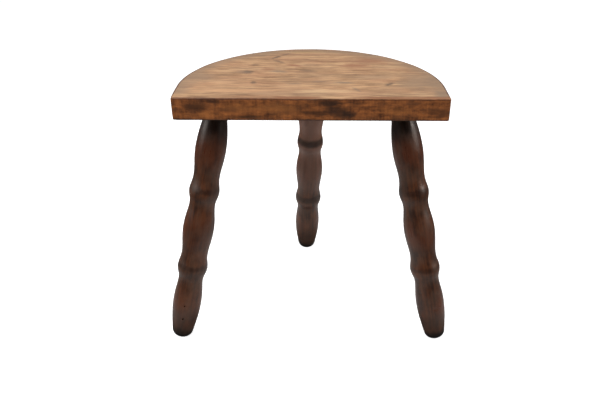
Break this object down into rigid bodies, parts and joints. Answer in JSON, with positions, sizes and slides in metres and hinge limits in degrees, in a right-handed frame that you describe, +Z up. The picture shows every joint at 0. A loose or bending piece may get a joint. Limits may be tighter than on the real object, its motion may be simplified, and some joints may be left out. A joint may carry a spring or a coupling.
{
  "type": "three leg stool",
  "caption": "Low household stool with a half-moon board seat on splayed legs turned with barrels and beads, each held by a wedged round tenon in a blind mortise.",
  "frame": {"origin": "on the floor, below the centre of the box around the whole stool", "axes": "+Z up; X along the straight front edge of the seat and the grain of the board, +X to a viewer's right; +Y from the straight front edge to the round back"},
  "size_m": [0.3628, 0.2484, 0.335],
  "materials": {
    "seat_wood": "worn satin, honey brown, darker on the edges",
    "leg_wood": "satin walnut stain",
    "wedge_wood": "raw hardwood"
  },
  "bodies": {
    "root": {"seat": "seat_wood", "leg_front_left": "leg_wood", "leg_front_right": "leg_wood", "leg_rear": "leg_wood", "wedge_front_left": "wedge_wood", "wedge_front_right": "wedge_wood", "wedge_rear": "wedge_wood"}
  },
  "joints": []
}
